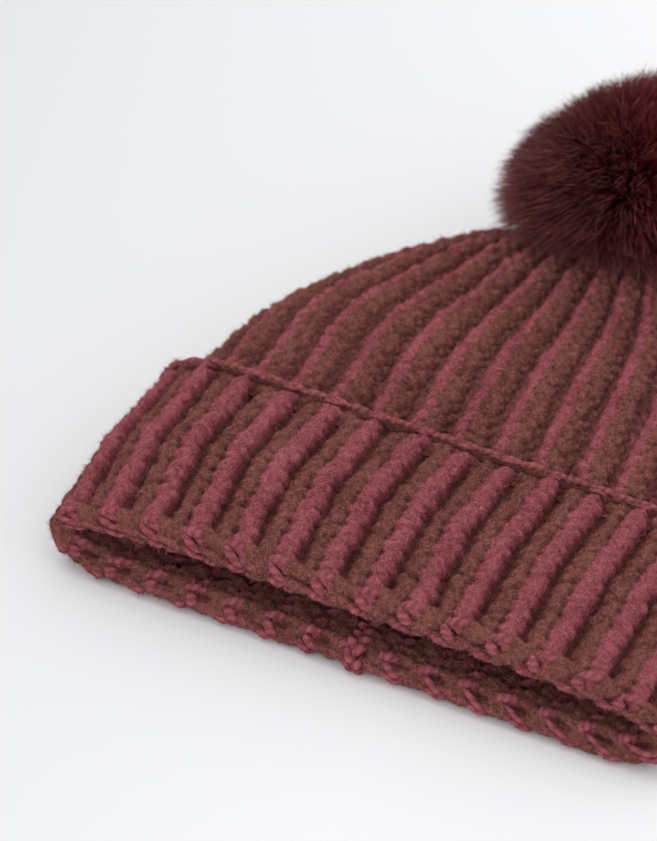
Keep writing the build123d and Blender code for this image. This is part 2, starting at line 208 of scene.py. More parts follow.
def ring(place, inset, table, count):
    halfWidth, topY, topZ, lowY, lowZ, crest = place
    slant = math.hypot(topY - lowY, topZ - lowZ)
    upY, upZ = (topY - lowY) / slant, (topZ - lowZ) / slant
    across = halfWidth - inset
    above = max(slant * (1 - hat["waist"]) - inset, hat["thinnest"])
    below = max(slant * hat["waist"] - inset, hat["thinnest"])
    high, low = across * crest, across * table
    quarter = np.linspace(0, math.pi / 2, 40)
    cosine, sine = np.cos(quarter), np.sin(quarter)
    sides = np.concatenate([
        high + (across - high) * cosine,
        -high - (across - high) * sine,
        -low - (across - low) * cosine,
        low + (across - low) * sine,
    ])
    heights = np.concatenate([above * sine, above * cosine, -below * sine, -below * cosine])
    steps = np.hypot(np.diff(sides, append=sides[:1]), np.diff(heights, append=heights[:1]))
    along = np.concatenate([[0], np.cumsum(steps)])
    wanted = np.arange(count) / count * along[-1]
    sides = np.interp(wanted, along, np.append(sides, sides[0]))
    heights = np.interp(wanted, along, np.append(heights, heights[0]))
    waist = slant * hat["waist"]
    y = lowY + upY * (waist + heights) - hat["originLength"]
    z = lowZ + upZ * (waist + heights)
    return np.stack([sides, y, z], axis=1), along[-1]


def makeSkin(path, start, count=480, step=0.8):
    # path is a list of (place, inset, share lying on the table, mark or None)
    tops, perimeters, rings = [], [], []
    for place, inset, table, _ in path:
        points, around = ring(place, inset, table, count)
        rings.append(points)
        perimeters.append(around)
        tops.append(points[count // 4])
    lengths = np.linalg.norm(np.diff(np.array(tops), axis=0), axis=1)
    lengths = np.concatenate([[0], np.cumsum(lengths)])
    marks = {entry[3]: lengths[i] for i, entry in enumerate(path) if entry[3]}
    even = np.arange(0, lengths[-1] + step, step).clip(0, lengths[-1])
    index = np.interp(even, lengths, np.arange(len(path)))
    low = index.astype(int).clip(0, len(path) - 2)
    share = (index - low)[:, None, None]
    rings = np.array(rings)
    points = rings[low] * (1 - share) + rings[low + 1] * share
    around = np.roll(points, -2, 1) - np.roll(points, 2, 1)
    along = np.gradient(points, axis=0)
    normals = np.cross(along, around)
    normals /= np.linalg.norm(normals, axis=2, keepdims=True) + 1e-12
    # a fold keeps its normals smooth
    for _ in range(2):
        normals[1:-1] = (normals[:-2] + 2 * normals[1:-1] + normals[2:]) / 4
    normals /= np.linalg.norm(normals, axis=2, keepdims=True) + 1e-12
    # on the top, a little beyond the start, outwards is up
    zero = marks[start]
    beyond = min(np.argmin(np.abs(even - zero)) + 12, len(even) - 1)
    if normals[beyond, count // 4, 2] < 0:
        normals = -normals
    return {
        "points": points,
        "normals": normals,
        "v": even - zero,
        "marks": {name: value - zero for name, value in marks.items()},
        "pitch": np.interp(even, lengths, perimeters) / hat["ribs"],
    }


def onSkin(skin, u, v, h):
    # rib number, length along the knitting and height above it, as points in metres
    count = skin["points"].shape[1]
    column = ((0.5 - (hat["ribShift"] + u) / hat["ribs"]) % 1.0) * count
    left = np.floor(column).astype(int) % count
    right = (left + 1) % count
    across = (column - np.floor(column))[..., None]
    rowAt = np.interp(v, skin["v"], np.arange(len(skin["v"])))
    low = rowAt.astype(int).clip(0, len(skin["v"]) - 2)
    along = (rowAt - low)[..., None]

    def read(table):
        near = table[low, left] * (1 - across) + table[low, right] * across
        far = table[low + 1, left] * (1 - across) + table[low + 1, right] * across
        return near * (1 - along) + far * along

    found = read(skin["points"]) + read(skin["normals"]) * h[..., None]
    found[..., 2] = np.maximum(found[..., 2], hat["offTable"])
    return found * mm


def pitchAt(skin, v):
    return np.interp(v, skin["v"], skin["pitch"])


usual = hat["table"]
# the cuff's free edge turns over from the inner side to the outer one
edgeWall = [
    (between(hat["cuffMiddle"], hat["cuffEdge"], 0.8), 5.1, usual, None),
    (hat["cuffEdge"], 5.0, usual, None),
    (between(hat["cuffMiddle"], hat["cuffEdge"], 1.03), 4.2, usual, None),
    (between(hat["cuffMiddle"], hat["cuffEdge"], 1.045), 2.6, usual, None),
    (between(hat["cuffMiddle"], hat["cuffEdge"], 1.03), 0.9, usual, None),
]
cuffOutside = [(hat["cuffEdge"], 0.0, usual, "edge"), (hat["cuffMiddle"], 0.0, usual, None)]
# the rounded fold at the brim
nose = []
for angle in range(90, -1, -15):
    depth = hat["foldRadius"] * (1 - math.cos(math.radians(angle)))
    inset = hat["foldRadius"] * (1 - math.sin(math.radians(angle)))
    place = between(hat["brim"], hat["cuffMiddle"], depth / hat["cuffMiddle"][1])
    nose.append((place, inset))
foldFront = [(place, inset, usual, None) for place, inset in nose]
foldFront[0] = (*foldFront[0][:3], "fold")
foldBack = [(place, doubleLayer - inset, usual, None) for place, inset in reversed(nose)]
foldBack[-1] = (*foldBack[-1][:3], "inside")
insideCuff = [
    (hat["cuffMiddle"], doubleLayer, usual, None),
    (hat["cuffEdge"], doubleLayer, usual, None),
]
gathered = gatherRing(hat["gatherRadius"])
beyondGather = tuple(2 * a - b for a, b in zip(gathered, hat["crown"][-1]))
guides = [hat["cuffEdge"], *hat["crown"], gathered, beyondGather]
crownRows = curveThrough(guides, 10)


def tableShare(number, total):
    # near the gather the sections turn round
    blend = max(0.0, number / total - 0.8) / 0.2
    return hat["table"] + (hat["gatherShare"] - hat["table"]) * blend


last = len(crownRows) - 1
allRound = hat["gatherShare"]
crownOutside = [(place, 0.0, tableShare(i, last), None) for i, place in enumerate(crownRows)]
crownOutside[0] = (*crownOutside[0][:3], "start")
crownOutside[-1] = (*crownOutside[-1][:3], "gather")
crownInside = [
    (place, hat["layer"], tableShare(i, last), None) for i, place in enumerate(crownRows[:-4])
]
# the fabric closes in to the hole of the gather, as radius and depth
capRings = [(7.5, 0.0), (6.0, 0.0), (4.6, 0.0)]
capRings += [(hat["gatherHole"], depth) for depth in (0.8, 3.0, 5.0)]
capOutside = [(gatherRing(*capRing), 0.0, allRound, None) for capRing in capRings]
capInside = [
    (gatherRing(radius, 5.3), 0.0, allRound, None)
    for radius in (hat["gatherRadius"], 6.5, hat["gatherHole"])
]
cuffSkin = makeSkin(
    edgeWall + cuffOutside + foldFront + foldBack + insideCuff + crownInside + capInside, "edge"
)
# the crown starts out of sight, inside the cuff
underCuff = [
    (between(hat["cuffMiddle"], hat["cuffEdge"], 0.6), 5.5, usual, None),
    (hat["cuffEdge"], 5.5, usual, None),
    (between(hat["cuffEdge"], hat["crown"][0], 0.5), 2.6, usual, None),
]
crownSkin = makeSkin(underCuff + crownOutside + capOutside, "start")
for skin in (cuffSkin, crownSkin):
    marks = {name: round(v, 1) for name, v in skin["marks"].items()}
    print("skin", marks, round(skin["v"][-1], 1))

# pieces made of one small shape, many times


def readMesh(bm):
    mesh = bpy.data.meshes.new("pattern")
    bm.to_mesh(mesh)
    bm.free()
    corners = np.empty(len(mesh.loops), dtype=np.int32)
    mesh.loops.foreach_get("vertex_index", corners)
    sizes = np.array([len(face.vertices) for face in mesh.polygons], dtype=np.int32)
    points = np.array([vertex.co[:] for vertex in mesh.vertices])
    bpy.data.meshes.remove(mesh)
    return {"points": points, "corners": corners, "sizes": sizes}


def yarnPattern():
    # a short length of yarn, thick in the middle and tapered where it goes into the fabric
    bm = bmesh.new()
    bmesh.ops.create_uvsphere(bm, u_segments=8, v_segments=7, radius=1)
    quarterTurn = Matrix.Rotation(math.pi / 2, 3, "Y")
    bmesh.ops.rotate(bm, verts=bm.verts, cent=(0, 0, 0), matrix=quarterTurn)
    return readMesh(bm)


def fibrePattern(segments):
    # a flat fibre along +Y from 0 to 1, closed to a point
    bm = bmesh.new()
    bmesh.ops.create_grid(bm, x_segments=1, y_segments=segments, size=0.5)
    bmesh.ops.translate(bm, verts=bm.verts, vec=(0, 0.5, 0))
    tips = [vertex for vertex in bm.verts if vertex.co.y > 0.999]
    bmesh.ops.pointmerge(bm, verts=tips, merge_co=(0, 1, 0))
    return readMesh(bm)


def tiledMesh(name, pattern, points, flip=False):
    # points has one row of the pattern's vertices for every copy
    copies, each = points.shape[:2]
    corners = pattern["corners"]
    if flip:
        starts = np.cumsum(pattern["sizes"]) - pattern["sizes"]
        corners = np.concatenate([corners[s:s + n][::-1] for s, n in zip(starts, pattern["sizes"])])
    allCorners = (corners[None, :] + np.arange(copies)[:, None] * each).ravel()
    sizes = np.tile(pattern["sizes"], copies)
    mesh = bpy.data.meshes.new(name)
    mesh.vertices.add(copies * each)
    mesh.loops.add(len(allCorners))
    mesh.polygons.add(len(sizes))
    mesh.vertices.foreach_set("co", points.reshape(-1).astype(np.float32))
    mesh.loops.foreach_set("vertex_index", allCorners.astype(np.int32))
    mesh.polygons.foreach_set("loop_start", (np.cumsum(sizes) - sizes).astype(np.int32))
    mesh.update(calc_edges=True)
    mesh.validate()
    mesh.shade_smooth()
    return mesh


def addAttribute(mesh, name, values, kind="FLOAT"):
    layer = mesh.attributes.new(name, kind, "POINT")
    key = "vector" if kind == "FLOAT_VECTOR" else "value"
    layer.data.foreach_set(key, np.ascontiguousarray(values, dtype=np.float32).ravel())


def addPiece(name, mesh, material, body):
    piece = bpy.data.objects.new(name, mesh)
    bpy.context.scene.collection.objects.link(piece)
    mesh.materials.append(material)
    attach(piece, body)
    return piece


def unit(vectors):
    return vectors / (np.linalg.norm(vectors, axis=-1, keepdims=True) + 1e-12)


yarn = yarnPattern()
bendMiddle = 0.4  # keeps a bent stitch about where a straight one lies
# how unevenly the separate lengths of yarn lie
loose = {"rib": 0.012, "along": 0.16, "height": 0.12, "size": 0.06, "angle": 5.0, "surface": 0.1}


def stitchPoints(skin, stitches):
    # a stitch is rib, length along, height, half length, width and depth, angle, bend and dip
    rows = np.array(stitches)
    rows[:, 0] += chance.normal(0, loose["rib"], len(rows))
    rows[:, 1] += chance.normal(0, loose["along"], len(rows))
    rows[:, 2] += chance.normal(0, loose["height"], len(rows))
    rows[:, 3:6] *= chance.normal(1, loose["size"], (len(rows), 3))
    rows[:, 6] += chance.normal(0, loose["angle"], len(rows))
    u, v, h, long, wide, deep, angle, bend, dip = (rows[:, k][:, None] for k in range(9))
    x, y, z = (yarn["points"][:, k][None, :] for k in range(3))
    turn = np.radians(angle)
    side = y * wide + bend * (x * x - bendMiddle)
    length = x * long
    acrossRib = length * np.cos(turn) - side * np.sin(turn)
    downRib = -(length * np.sin(turn) + side * np.cos(turn))
    height = h + z * deep - dip * x * x
    height = height + chance.normal(0, loose["surface"], height.shape)
    pitch = pitchAt(skin, v + downRib)
    return onSkin(skin, u + acrossRib / pitch, v + downRib, height), rows


def stitchPiece(name, stitches, material):
    # lengths of yarn on the cuff's skin, which is wound the other way round
    points, rows = stitchPoints(cuffSkin, stitches)
    mesh = tiledMesh(name, yarn, points, True)
    tone = np.repeat(chance.random(len(rows)), len(yarn["points"]))
    addAttribute(mesh, "tone", tone)
    local = np.tile(yarn["points"][None], (len(rows), 1, 1))
    local[:, :, 0] *= rows[:, 3][:, None]
    addAttribute(mesh, "yarnPlace", local, "FLOAT_VECTOR")
    middles = points.mean(axis=1, keepdims=True)
    roots = {"points": points.reshape(-1, 3), "outward": unit(points - middles).reshape(-1, 3)}
    roots["rosy"] = np.ones(len(roots["points"]))
    roots["depth"] = np.zeros(len(roots["points"]))
    return addPiece(name, mesh, material, "hat"), roots


# yarn finishes


def yarnColour(shader, light, dark, fleck, shade, flecks):
    base = shader.mix(shade, dark, light)
    return shader.mix(flecks, base, fleck)


def yarnFinish(name, light, dark, fleck):
    shader = Shader(name)
    spot = shader.node("SeparateXYZ", {}, {0: shader.attribute("yarnPlace", 1)}, 0)
    split = spot.socket.node
    sideways, upward = Wire(shader, split.outputs[1]), Wire(shader, split.outputs[2])
    turn = spot.maths("ARCTAN2", upward, sideways)
    # two plies, twisted along the yarn
    ply = (turn * 2.0 + spot * 2.1).sine() * 0.5 + 0.5
    fibres = shader.noise(1500.0, 2.0, 0.6)
    felt = shader.noise(420.0, 4.0, 0.65)
    tone = shader.attribute("tone")
    shade = (felt * 1.4 + tone * 0.25 + fibres * 0.8 + ply * 0.5 - 1.0).clamped()
    flecks = ((fibres - 0.6) * 6.0).clamped() * 0.4
    base = yarnColour(shader, light, dark, fleck, shade, flecks)
    height = felt * 0.6 + fibres * 0.5 + ply * 0.9
    normal = shader.bump(height, 0.6, 0.0009)
    return shader.surface(baseColor=base, roughness=0.95, normal=normal, specular=0.08)


rosePaint = {
    "light": paint(176, 100, 106),
    "dark": paint(124, 58, 65),
    "fleck": paint(206, 138, 140),
}
brownPaint = {
    "light": paint(150, 94, 84),
    "dark": paint(94, 53, 47),
    "fleck": paint(168, 116, 104),
}
# painted shade: the dark colour the yarn takes on deep in the grooves between the ribs
paintedGrooveShade = paint(46, 20, 20)
roseYarn = yarnFinish("roseYarn", **rosePaint)


def knitFinish(name):
    # both yarns on one surface, told apart by the attribute rosy
    shader = Shader(name)
    fibres = shader.noise(1700.0, 3.0, 0.7)
    felt = shader.noise(620.0, 4.0, 0.7)
    patches = shader.noise(60.0, 2.0, 0.5)
    shade = ((felt - 0.5) * 2.8 + (fibres - 0.5) * 3.2 + (patches - 0.5) * 0.8 + 0.5).clamped()
    flecks = ((fibres - 0.58) * 5.0).clamped() * 0.4
    rose = yarnColour(shader, **rosePaint, shade=shade, flecks=flecks)
    brown = yarnColour(shader, **brownPaint, shade=shade, flecks=flecks)
    rosy = shader.attribute("rosy") + (felt - 0.5) * 1.1
    base = shader.mix(((rosy - 0.5) * 2.2 + 0.5).clamped(), brown, rose)
    # painted shade: the yarn darkens deep in the grooves between the ribs, where shade falls
    depth = shader.attribute("depth")
    base = shader.mix(depth * 0.62, base, paintedGrooveShade)
    normal = shader.bump(felt * 0.6 + fibres * 0.5, 0.7, 0.0010)
    return shader.surface(baseColor=base, roughness=0.97, normal=normal, specular=0.06)


knitted = knitFinish("knitted")

# knitted surfaces: the stitches are soft lumps that run into one another

knit = {
    "pitch": 15.0,  # between ribs, where the stitches have their full size
    "least": 0.35,  # of that size, where the ribs run together
    "sharp": 2.5,  # how little the lumps run into one another
    "hueSharp": 2.6,  # and their colours
    "across": 0.40,  # the rest says how uneven the stitches are
    "along": 0.42,
    "turn": 0.10,
    "size": 0.07,
    "height": 0.22,
    "lumps": 0.2,
    "grain": 0.12,
    "outside": -20.0,  # height where there is no row
    "grooveTop": -0.6,  # the grooves get painted shade below this height
    "grooveShade": 1.3,
}


def heights(skin, u, v, families, ground):
    # a family is {first row, row step, rows, stitches}; a stitch is hue (1 is rose), across and
    # along from the crest and the row, height, half length, half width, rise, angle, bend
    ribs = hat["ribs"]
    pitch = pitchAt(skin, v)
    wide = pitch / knit["pitch"]
    shrink = np.minimum(1.0, knit["least"] + (1 - knit["least"]) * wide)
    column = np.round(u).astype(int)
    total = np.exp(knit["sharp"] * ground * shrink)
    colours = np.exp(knit["hueSharp"] * ground * shrink)
    rosy = np.zeros_like(u)
    for family in families:
        step = np.floor((v - family["first"]) / family["row"]).astype(int)
        luck = chance.normal(0, 1, (len(family["stitches"]), ribs, family["rows"] + 4, 5))
        for number, stitch in enumerate(family["stitches"]):
            hue, across, along, height, long, width, rise, angle, bend = stitch
            for besideRib in (-1, 0, 1):
                for besideRow in (-1, 0, 1):
                    line = step + besideRow
                    rows = family["rows"]
                    own = luck[number, (column + besideRib) % ribs, line.clip(-1, rows) + 1]
                    a = (u - column - besideRib) * pitch - across * wide
                    a = a + own[:, 0] * knit["across"]
                    d = family["first"] + line * family["row"] + along - v
                    d = d + own[:, 1] * knit["along"]
                    turn = math.radians(angle) + own[:, 2] * knit["turn"]
                    size = 1 + own[:, 3] * knit["size"]
                    x = (a * np.cos(turn) + d * np.sin(turn)) / (long * (shrink * size))
                    y = (d * np.cos(turn) - a * np.sin(turn)) - bend * (x * x - bendMiddle)
                    y = y / (width * wide * size)
                    reach = x * x + y * y
                    top = np.sqrt(np.maximum(0, 1 - reach)) - 0.8 * np.maximum(0, reach - 1)
                    level = (height + own[:, 4] * knit["height"] + rise * top) * shrink
                    level = np.where((line < 0) | (line >= rows), knit["outside"], level)
                    level = np.maximum(level, knit["outside"])
                    total += np.exp(knit["sharp"] * level)
                    weight = np.exp(knit["hueSharp"] * level)
                    colours += weight
                    rosy += hue * weight
    return np.log(total) / knit["sharp"], rosy / colours, shrink


def blurred(table, times):
    for _ in range(times):
        for axis in (0, 1):
            table = (np.roll(table, 1, axis) + 2 * table + np.roll(table, -1, axis)) / 4
    return table / table.std()


def knitPiece(name, skin, span, grid, families, ground, mirrored, lean=0.0):
    # a grid wrapped on the skin and welded where it meets itself
    across, along = grid
    bm = bmesh.new()
    bmesh.ops.create_grid(bm, x_segments=across, y_segments=along, size=0.5)
    flat = np.array([vertex.co[:] for vertex in bm.verts])
    column = np.round((flat[:, 0] + 0.5) * across).astype(int) % across
    line = np.round((flat[:, 1] + 0.5) * along).astype(int)
    u = column / across * hat["ribs"]
    v = span[0] + (flat[:, 1] + 0.5) * (span[1] - span[0])
    h, rosy, shrink = heights(skin, u, v, families, ground)
    lumps = blurred(chance.normal(0, 1, (along + 1, across)), 2)[line, column]
    grain = chance.normal(0, 1, (along + 1, across))[line, column]
    h = h + (lumps * knit["lumps"] + grain * knit["grain"]) * shrink
    pitch = pitchAt(skin, v)
    shifted = u + lean * (h - ground) / pitch
    wrapped = onSkin(skin, shifted, v, h)
    for vertex, point in zip(bm.verts, wrapped):
        vertex.co = point
    rosyLayer = bm.verts.layers.float.new("rosy")
    depthLayer = bm.verts.layers.float.new("depth")
    # depth is 0 on the crests and 1 on the ground between the ribs; it sets the painted shade in
    # the grooves and keeps fibres out of them
    depth = (knit["grooveTop"] - h / shrink) / (knit["grooveTop"] - ground)
    depth = depth.clip(0, 1) ** knit["grooveShade"]
    for vertex, hue, low in zip(bm.verts, rosy, depth):
        vertex[rosyLayer] = hue
        vertex[depthLayer] = low
    bmesh.ops.remove_doubles(bm, verts=bm.verts, dist=0.00002)
    if mirrored:
        bmesh.ops.reverse_faces(bm, faces=bm.faces)
    mesh = bpy.data.meshes.new(name)
    bm.to_mesh(mesh)
    bm.free()
    mesh.shade_smooth()
    outward = unit(onSkin(skin, shifted, v, h + 1.0) - wrapped)
    roots = {"points": wrapped, "outward": outward, "rosy": rosy, "depth": depth}
    print(name, round(h.max(), 2), round(h.min(), 2))
    return addPiece(name, mesh, knitted, "hat"), roots


fold, inside = (cuffSkin["marks"][name] for name in ("fold", "inside"))
insideEnd = cuffSkin["v"][-1]
cuffKnit = {
    "first": 0.2,
    "row": 4.86,
    "rows": 16,
    "stitches": [
        (1.0, 0.8, 0.0, -2.9, 3.6, 2.8, 2.8, 52, 0.5),
        (0.85, 2.8, 2.4, -3.8, 2.9, 2.3, 2.8, -36, 0.0),
        (0.0, -3.9, 1.2, -3.6, 3.2, 2.4, 2.8, 62, 0.4),
        (0.3, -5.8, 3.5, -4.3, 2.7, 1.9, 2.6, 72, 0.2),
    ],
}
foldKnit = {
    "first": fold,
    "row": 100.0,
    "rows": 1,
    "stitches": [
        (0.0, 6.2, 1.0, -2.9, 5.2, 2.6, 2.4, -14, 0.4),
        (0.0, 7.0, 5.0, -2.6, 4.8, 2.6, 2.3, -18, -0.4),
        (0.1, -3.4, 3.2, -3.2, 3.8, 2.4, 2.2, 52, 0.2),
        (0.4, 5.4, 9.0, -2.3, 6.4, 2.1, 2.2, -8, -0.6),
        (0.2, -3.0, 9.8, -3.0, 5.2, 1.9, 2.1, -10, 0.3),
        (0.0, 5.0, 12.0, -3.2, 5.0, 2.2, 2.1, 10, 0.3),
        (0.0, 6.4, 15.4, -2.9, 5.2, 2.6, 2.3, -12, 0.3),
        (0.0, -2.0, 16.4, -3.4, 4.4, 2.4, 2.1, 12, 0.3),
    ],
}
edgeKnitRow = {
    "first": -1.4,
    "row": 100.0,
    "rows": 1,
    "stitches": [
        (0.55, -3.6, 0.0, -2.3, 6.4, 1.4, 1.7, 8, 0.5),
        (0.65, 3.6, 0.0, -2.3, 6.4, 1.4, 1.7, -8, -0.5),
        (0.3, 7.4, 2.6, -3.4, 3.4, 2.6, 2.4, 20, 0.2),
        (0.3, -1.6, 2.4, -3.2, 3.2, 2.4, 2.4, 60, 0.2),
        (0.9, 1.6, 2.0, -2.9, 3.0, 2.4, 2.6, 40, 0.0),
    ],
}
insideKnit = {
    "first": inside - 3.0,
    "row": 5.2,
    "rows": int((insideEnd - inside - 4) / 5.2),
    "stitches": [
        (0.0, 4.4, 0.0, -2.9, 3.6, 2.8, 2.4, -32, 0.4),
        (0.0, -6.2, 2.6, -3.2, 3.6, 2.6, 2.4, 36, -0.4),
        (1.0, -1.0, 1.2, -3.4, 3.3, 1.8, 2.1, 30, 0.3),
    ],
}
turnAt = inside + 6.0
cuffFamilies = [cuffKnit, foldKnit, insideKnit, edgeKnitRow]
cuffPiece, cuffRoots = knitPiece(
    "cuffKnit", cuffSkin, (-6.0, turnAt), (600, 158), cuffFamilies, -5.6,
    True, 0.28
)
knitPiece(
    "insideKnit", cuffSkin, (turnAt - 1.0, insideEnd), (420, 190), [insideKnit], -3.4,
    True
)
knitPiece(
    "edgeKnit", cuffSkin, (cuffSkin["v"][0], -5.4), (420, 12), [], -0.8,
    True
)

# crown

crownEnd = crownSkin["marks"]["gather"]
crownKnit = {
    "first": -13.0,
    "row": 5.0,
    "rows": int((crownEnd + 15) / 5.0),
    "stitches": [
        (1.0, -3.7, 0.0, -3.0, 2.8, 2.6, 2.8, 66, 0.2),
        (0.7, -4.3, 2.5, -4.1, 2.4, 2.2, 2.5, 70, 0.0),
        (0.15, -0.6, 2.2, -2.9, 3.0, 2.7, 2.8, 60, 0.3),
        (0.0, 2.4, 0.4, -3.3, 2.9, 2.5, 2.8, 112, 0.3),
        (0.0, 5.0, 2.7, -4.9, 2.3, 2.0, 2.7, 100, 0.2),
    ],
}
crownPiece, crownRoots = knitPiece(
    "crownKnit", crownSkin, (crownSkin["v"][0], crownSkin["v"][-1]), (540, 182), [crownKnit], -5.2,
    False, 0.2
)

# strokes of rose yarn on the fold, and the back seam

seam = {"step": 4.0, "start": 5.0, "spare": 24, "free": 2}
strokes = []
for rib in range(hat["ribs"]):
    # half of the ribs are on the table side
    long, angle = (4.6, -40) if rib >= hat["ribs"] // 2 else (3.6, -12)
    strokes.append((rib + 0.13, fold + 1.8, -0.9, 4.7, 1.9, 1.7, 10, -0.5, 0.9))
    strokes.append((rib + 0.04, fold + 6.4, -0.9, 4.5, 2.0, 1.7, -44, 0.5, 0.9))
    strokes.append((rib - 0.05, fold + 10.4, -0.8, long, 1.6, 1.5, angle, 0.3, 0.9))
    strokes.append((rib + 0.10, fold + 14.8, -0.9, 4.6, 1.5, 1.5, 16, 0.3, 0.9))
# the seam is in the middle of the side that lies on the table
seamU = 0.75 * hat["ribs"] - hat["ribShift"]
seamStitches = []
for row in range(int((insideEnd - fold - seam["spare"]) / seam["step"])):
    v = fold + seam["start"] + row * seam["step"]
    lift = -0.6 if row > seam["free"] else 0.0
    seamStitches.append((seamU - 0.10, v, lift, 3.0, 1.6, 1.8, 40, 0.3, 0.8))
    seamStitches.append((seamU + 0.12, v + 2.0, lift, 3.0, 1.6, 1.8, -40, 0.3, 0.8))
_, strokeRoots = stitchPiece("foldStrokes", strokes, roseYarn)
seamPiece, _ = stitchPiece("backSeamStitches", seamStitches, roseYarn)

# cast-on edge chain

edgeRose, edgeBrown = [], []
for rib in range(hat["ribs"]):
    edgeRose.append((rib + 0.22, -0.7, -0.4, 5.6, 1.6, 1.5, -12, -0.5, 0.4))
    edgeBrown.append((rib + 0.70, -1.0, -0.4, 5.8, 1.6, 1.5, 8, 0.6, 0.4))
    edgeRose.append((rib + 0.74, -3.8, -1.2, 5.4, 1.2, 1.4, -10, -0.4, 0.4))
    edgeBrown.append((rib + 0.20, -4.0, -1.3, 5.4, 1.2, 1.4, 10, 0.4, 0.4))
edgeYarn = yarnFinish("edgeYarn", paint(164, 98, 94), paint(116, 64, 60), paint(188, 130, 124))
edgeRosePiece, edgeChainRoots = stitchPiece("edgeRoseChain", edgeRose, roseYarn)
stitchPiece("edgeBrownChain", edgeBrown, edgeYarn)

# loose fibres on the yarn

shortFibre = fibrePattern(2)


def ribbonPoints(pattern, lines, widths, sideways):
    # lines: copies x stations x 3. The pattern's +Y runs along each line
    stations = lines.shape[1] - 1
    place = pattern["points"][:, 1] * stations
    low = place.astype(int).clip(0, stations - 1)
    share = (place - low)[None, :, None]
    middle = lines[:, low] * (1 - share) + lines[:, low + 1] * share
    offset = pattern["points"][:, 0][None, :, None] * widths[:, None, None]
    return middle + offset * sideways[:, None, :]


fibre = {
    "grooves": 1.15,  # 1 and more lets fibres grow at the bottom of the grooves too
    "tableHeight": 0.004,
    "tableShare": 0.15,
    "rootSpread": 0.00025,
    "outward": 0.55,
    "stray": 0.6,
    "curl": 0.35,
    "bend": 0.55,  # how far along its length a fibre bends
    "bendDrop": 0.0002,
    "length": (0.4, 1.3),
    "width": (0.07, 0.13),
    "sunk": 0.0003,
    "floor": 0.0001,
}


def fuzzPiece(name, roots, count, length):
    # most fibres are where they are seen: away from the table and out of the grooves
    seen = np.where(roots["points"][:, 2] > fibre["tableHeight"], 1.0, fibre["tableShare"])
    likely = (fibre["grooves"] - roots["depth"]) * seen
    pick = chance.choice(len(likely), count, p=likely / likely.sum())
    outward = roots["outward"][pick]
    root = roots["points"][pick] + chance.normal(0, fibre["rootSpread"], (count, 3))
    stray = chance.normal(0, fibre["stray"], (count, 3))
    stray = unit(outward * fibre["outward"] + stray)
    curl = chance.normal(0, fibre["curl"], (count, 3))
    reach = (length * chance.uniform(*fibre["length"], count) * mm)[:, None]
    first = root + stray * reach * fibre["bend"] - outward * fibre["bendDrop"]
    second = root + (stray + curl) * reach
    lines = np.stack([root - outward * fibre["sunk"], first, second], axis=1)
    lines[:, :, 2] = np.maximum(lines[:, :, 2], fibre["floor"])
    sideways = unit(np.cross(stray, chance.normal(0, 1, (count, 3))))
    widths = chance.uniform(*fibre["width"], count) * mm
    mesh = tiledMesh(name, shortFibre, ribbonPoints(shortFibre, lines, widths, sideways))
    each = len(shortFibre["points"])
    addAttribute(mesh, "tone", np.repeat(chance.random(count), each))
    addAttribute(mesh, "rosy", np.repeat(roots["rosy"][pick], each))
    return addPiece(name, mesh, fuzz, "hat")


def fuzzFinish(name):
    shader = Shader(name)
    tone = shader.attribute("tone")
    rose = shader.mix(tone, paint(128, 62, 70), paint(202, 126, 130))
    brown = shader.mix(tone, paint(98, 56, 50), paint(168, 112, 102))
    base = shader.mix(shader.attribute("rosy"), brown, rose)
    return shader.surface(baseColor=base, roughness=0.95, specular=0.05)


fuzz = fuzzFinish("fuzz")
fuzzCount = 50000
for name, roots, slot, part, length in (
    ("cuffFibres", cuffRoots, "two_colour_knit_cuff", 1, 1.7),
    ("cuffOuterFibres", cuffRoots, "two_colour_knit_cuff", 1, 0.9),
    ("strokeFibres", strokeRoots, "two_colour_knit_cuff", 3, 1.2),
    ("edgeFibres", edgeChainRoots, "rose_yarn", 6, 1.7),
    ("crownFibres", crownRoots, "two_colour_knit", 1, 1.6),
    ("crownOuterFibres", crownRoots, "two_colour_knit", 1, 0.9),
):
    fuzzPiece(name, roots, fuzzCount // part, length)
print("fibres laid")

# pom

pom = {
    "centre": 29.6,  # along the gather's axis, from the crown
    "radius": 51.5,
    "halfHeight": 35.0,
    "short": (-0.545, 0.457, 0.703),  # direction of the short axis
    "bagCentre": 23.5,
    "bagRadius": 15.0,
    "segments": 7,  # of a strand
    "widths": (0.7, 1.3),  # of the width given for each kind of fur
    "clumps": 1500,
    "spread": 0.10,  # of the strands round their clump, as a share of the radius
    "uneven": 0.02,
    "lean": 0.045,
    "lift": 1.5,  # how far a strand bows upwards
    "swirl": 0.6,  # how far a strand bows to the side
    "clumpSwirl": 36,  # and the strands of a clump together
    "hang": (0.08, 0.6),  # all round, and more in the direction "hangs"
    "shortHang": 0.6,  # of that, for the shorter fur
    "hangFrom": 0.15,  # the height where it starts, as a share of the radius
    "tuft": (-0.02, 0.08),  # how far the fur stands out where it stands up
    "clumpTuft": 3.0,
    "sag": 2.0,  # how far the rest of the fur sinks
    "clear": 0.8,  # between the crown and the shorter fur
    "rings": (3.0, 66.0),  # step and end of the rings where that height is taken
    "redUneven": 0.15,
    # directions in which the fur hangs lowest, stands up highest and shows its red
    "hangs": (0.9, 0.1, 0),
    "stands": (0.75, 0.2, 0.6),
    "reddens": (0.55, 0.15, 0.35),
    # how low the fur may hang, as lengths, heights and half widths of the crown
    "restLength": (82.5, 115.0, 148.0, 171.0, 183.0, 190.0, 203.0, 216.0),
    "restHeight": (39.0, 46.0, 43.6, 44.7, 42.6, 42.0, 29.0, 16.0),
    "restWidth": (108.9, 99.8, 82.7, 59.3, 42.1, 30.0, 30.0, 30.0),
    "restUneven": 2.0,
}
gatherPoint = np.array([0, hat["gather"][0] - hat["originLength"], hat["gather"][1]])
